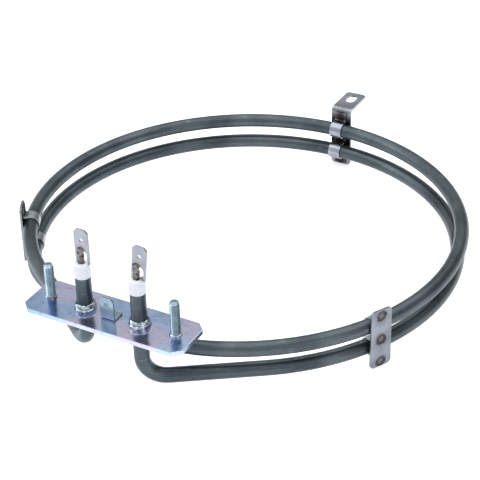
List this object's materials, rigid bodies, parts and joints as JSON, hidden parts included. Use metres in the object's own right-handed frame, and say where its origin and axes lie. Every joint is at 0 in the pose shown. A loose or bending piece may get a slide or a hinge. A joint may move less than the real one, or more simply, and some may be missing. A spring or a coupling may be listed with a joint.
{
  "type": "tubular heating element",
  "caption": "Sheathed heating rod wound into two stacked rings, its two ends rising through a studded flange plate to spade terminals, with three clamp brackets round the coil.",
  "frame": {"origin": "middle of the stud pattern on the top face of the flange plate", "axes": "+Z along the studs and terminals, +X along the plate from the upper-turn leg to the lower-turn leg, +Y towards the coil"},
  "size_m": [0.1958, 0.2317, 0.0687],
  "materials": {
    "sheath": "dark oxidised satin",
    "winding": "drawn wire",
    "magnesia": "compacted powder",
    "resin": "cured resin",
    "ceramic": "white steatite",
    "pin": "weld-greyed steel",
    "blade": "nickel-plated",
    "zinc": "blue-passivated zinc",
    "bracket": "heat-tinted stainless",
    "strap": "stainless strip"
  },
  "bodies": {
    "root": {"sheath": "sheath", "resistance_winding": "winding", "magnesia_insulation": "magnesia", "left_terminal_pin": "pin", "right_terminal_pin": "pin", "left_end_seal": "resin", "right_end_seal": "resin", "left_bead": "ceramic", "right_bead": "ceramic", "left_blade": "blade", "right_blade": "blade", "mounting_plate": "zinc", "left_stud": "zinc", "right_stud": "zinc", "earth_tab": "zinc", "rear_bracket": "bracket", "left_bracket": "bracket", "right_bracket": "bracket", "rear_strap": "strap", "left_strap": "strap", "right_strap": "strap"}
  },
  "joints": []
}
